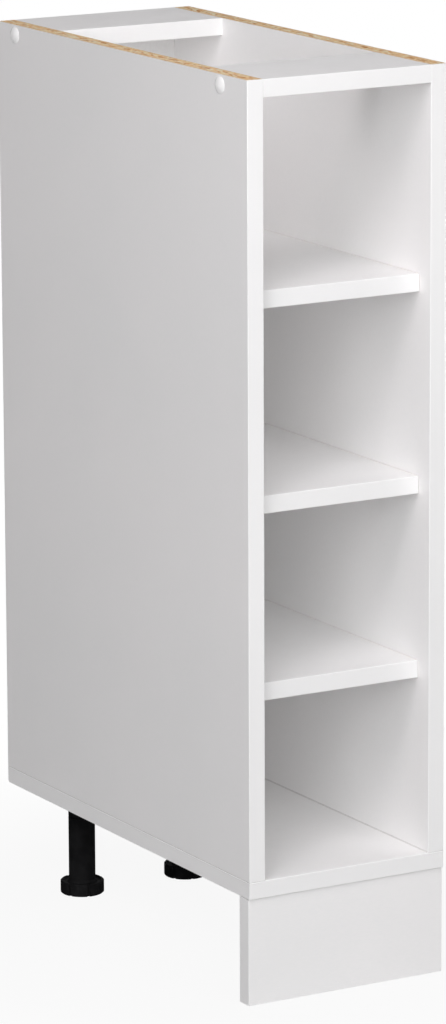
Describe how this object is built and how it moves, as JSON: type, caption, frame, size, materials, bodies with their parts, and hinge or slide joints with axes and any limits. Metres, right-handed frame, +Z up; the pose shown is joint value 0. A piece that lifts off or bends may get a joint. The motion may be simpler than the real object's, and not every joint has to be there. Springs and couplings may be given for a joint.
{
  "type": "open kitchen base unit",
  "caption": "Narrow open-fronted kitchen base unit of white faced chipboard with loose shelves, flat top rails, a clip-on plinth and black screw-adjusted legs.",
  "frame": {"origin": "on the floor, under the middle of the unit's overall box", "axes": "+X to the right seen from the open front, +Y to the back, +Z up"},
  "size_m": [0.2064, 0.453, 0.82],
  "materials": {
    "white_board": "white melamine face on chipboard, raw tan particles on the top edges of the sides",
    "white_edging": "satin edge band",
    "back_board": "hardboard, white inside",
    "white_cap": "semi-gloss",
    "zinc_screw": "zinc plated",
    "support_metal": "nickel plated",
    "dowel_wood": "bare beech",
    "black_plastic": "satin moulded",
    "clip_plastic": "satin moulded"
  },
  "bodies": {
    "carcass": {"left_side_panel": "white_board", "right_side_panel": "white_board", "left_side_front_edging": "white_edging", "right_side_front_edging": "white_edging", "front_top_rail": "white_board", "rear_top_rail": "white_board", "front_rail_edging": "white_edging", "rear_rail_edging": "white_edging", "bottom_panel": "white_board", "bottom_panel_edging": "white_edging", "back_panel": "back_board", "rail_screws": "zinc_screw", "screw_cover_caps": "white_cap", "rail_dowels": "dowel_wood", "bottom_screws": "zinc_screw", "bottom_dowels": "dowel_wood", "back_panel_nails": "zinc_screw", "leg_socket_screws": "zinc_screw", "shelf_upper_supports": "support_metal", "shelf_middle_supports": "support_metal", "shelf_lower_supports": "support_metal", "leg_front_left_socket": "black_plastic", "leg_front_right_socket": "black_plastic", "leg_rear_left_socket": "black_plastic", "leg_rear_right_socket": "black_plastic"},
    "shelf_upper": {"shelf_upper": "white_board", "shelf_upper_edging": "white_edging"},
    "shelf_middle": {"shelf_middle": "white_board", "shelf_middle_edging": "white_edging"},
    "shelf_lower": {"shelf_lower": "white_board", "shelf_lower_edging": "white_edging"},
    "plinth": {"plinth_panel": "white_board", "plinth_end_edging": "white_edging", "plinth_clip_left": "clip_plastic", "plinth_clip_right": "clip_plastic", "plinth_clip_screws": "zinc_screw"},
    "leg_front_left": {"leg_front_left_tube": "black_plastic"},
    "foot_front_left": {"leg_front_left_foot": "black_plastic"},
    "leg_front_right": {"leg_front_right_tube": "black_plastic"},
    "foot_front_right": {"leg_front_right_foot": "black_plastic"},
    "leg_rear_left": {"leg_rear_left_tube": "black_plastic"},
    "foot_rear_left": {"leg_rear_left_foot": "black_plastic"},
    "leg_rear_right": {"leg_rear_right_tube": "black_plastic"},
    "foot_rear_right": {"leg_rear_right_foot": "black_plastic"}
  },
  "joints": [
    {"name": "shelf_upper_pull_out", "type": "slide", "parent": "carcass", "child": "shelf_upper", "axis": [0, -1, 0], "range_m": [0, 0.42]},
    {"name": "shelf_middle_pull_out", "type": "slide", "parent": "carcass", "child": "shelf_middle", "axis": [0, -1, 0], "range_m": [0, 0.42]},
    {"name": "shelf_lower_pull_out", "type": "slide", "parent": "carcass", "child": "shelf_lower", "axis": [0, -1, 0], "range_m": [0, 0.42]},
    {"name": "plinth_pull_off", "type": "slide", "parent": "carcass", "child": "plinth", "axis": [0, -1, 0], "range_m": [0, 0.08]},
    {"name": "leg_front_left_height", "type": "slide", "parent": "carcass", "child": "leg_front_left", "axis": [0, 0, -1], "range_m": [0, 0.025]},
    {"name": "leg_front_left_turn", "type": "hinge", "parent": "leg_front_left", "child": "foot_front_left", "pos_m": [-0.056, -0.1815, 0], "axis": [0, 0, -1], "range_deg": [0, 1800]},
    {"name": "leg_front_right_height", "type": "slide", "parent": "carcass", "child": "leg_front_right", "axis": [0, 0, -1], "range_m": [0, 0.025]},
    {"name": "leg_front_right_turn", "type": "hinge", "parent": "leg_front_right", "child": "foot_front_right", "pos_m": [0.056, -0.1815, 0], "axis": [0, 0, -1], "range_deg": [0, 1800]},
    {"name": "leg_rear_left_height", "type": "slide", "parent": "carcass", "child": "leg_rear_left", "axis": [0, 0, -1], "range_m": [0, 0.025]},
    {"name": "leg_rear_left_turn", "type": "hinge", "parent": "leg_rear_left", "child": "foot_rear_left", "pos_m": [-0.056, 0.1615, 0], "axis": [0, 0, -1], "range_deg": [0, 1800]},
    {"name": "leg_rear_right_height", "type": "slide", "parent": "carcass", "child": "leg_rear_right", "axis": [0, 0, -1], "range_m": [0, 0.025]},
    {"name": "leg_rear_right_turn", "type": "hinge", "parent": "leg_rear_right", "child": "foot_rear_right", "pos_m": [0.056, 0.1615, 0], "axis": [0, 0, -1], "range_deg": [0, 1800]}
  ],
  "couplings": [
    {"joint": "leg_front_left_height", "follows": "leg_front_left_turn", "m_per_rad": 0.000795},
    {"joint": "leg_front_right_height", "follows": "leg_front_right_turn", "m_per_rad": 0.000795},
    {"joint": "leg_rear_left_height", "follows": "leg_rear_left_turn", "m_per_rad": 0.000795},
    {"joint": "leg_rear_right_height", "follows": "leg_rear_right_turn", "m_per_rad": 0.000795}
  ]
}
